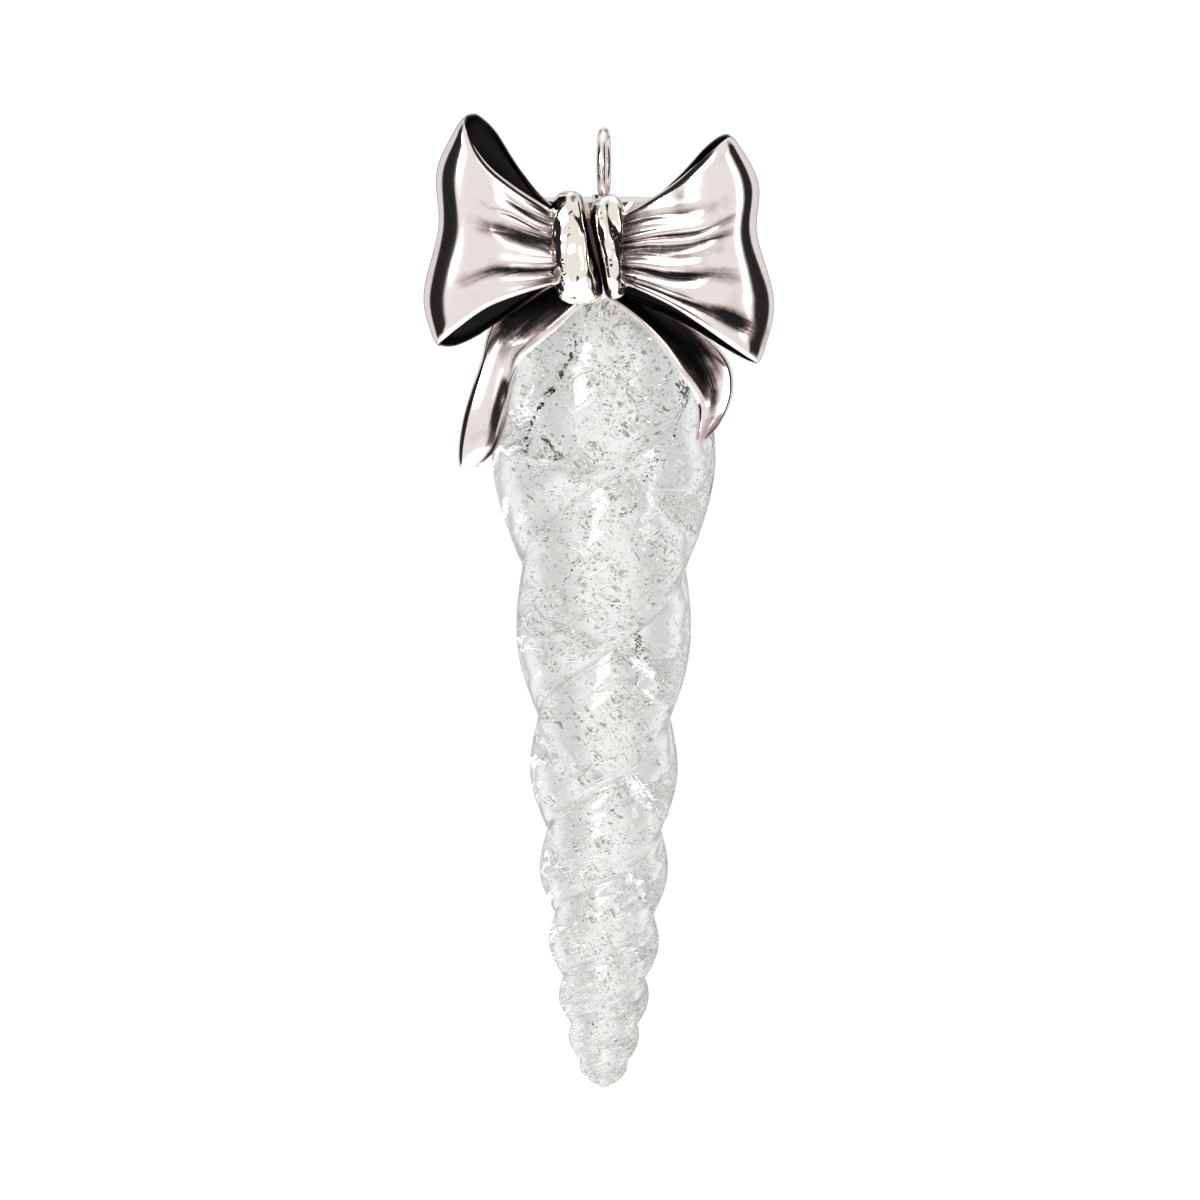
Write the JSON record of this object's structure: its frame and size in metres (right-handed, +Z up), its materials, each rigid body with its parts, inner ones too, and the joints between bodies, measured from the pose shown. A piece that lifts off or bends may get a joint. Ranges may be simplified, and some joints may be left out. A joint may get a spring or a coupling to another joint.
{
  "type": "hanging icicle ornament",
  "caption": "Clear glass icicle of two twisted strands under a silver cap with a ribbon bow, hung from a swivelling wire ring.",
  "frame": {"origin": "inside top of the hanging ring, where a hook or thread bears", "axes": "+Z up along the glass, towards the ring; the bow faces -Y; +X to the right seen from the front"},
  "size_m": [0.0514, 0.0388, 0.1539],
  "materials": {
    "leaf_glass": "clear polished glass with silver leaf and small bubbles sealed in it",
    "polished_silver": "polished silver sheet and wire",
    "ribbon_silver": "polished silver sheet with oxidised creases",
    "knot_silver": "bright cast silver, slightly warm, with small casting pits",
    "cement": "off-white mineral cement, matt"
  },
  "bodies": {
    "hanger": {"hanging_ring": "polished_silver", "swivel_post": "polished_silver", "swivel_washer": "polished_silver"},
    "ornament": {"cap_top_plate": "polished_silver", "cap_band": "polished_silver", "neck_cement": "cement", "glass_icicle": "leaf_glass", "knot_bracket": "polished_silver", "knot_fold_left": "knot_silver", "knot_fold_right": "knot_silver", "bow_loop_left": "ribbon_silver", "bow_loop_right": "ribbon_silver", "bow_tail_left": "ribbon_silver", "bow_tail_right": "ribbon_silver"}
  },
  "joints": [
    {"name": "hanger_swivel", "type": "hinge", "parent": "hanger", "child": "ornament", "pos_m": [0, 0, -0.0101], "axis": [0, 0, 1], "continuous": true}
  ]
}
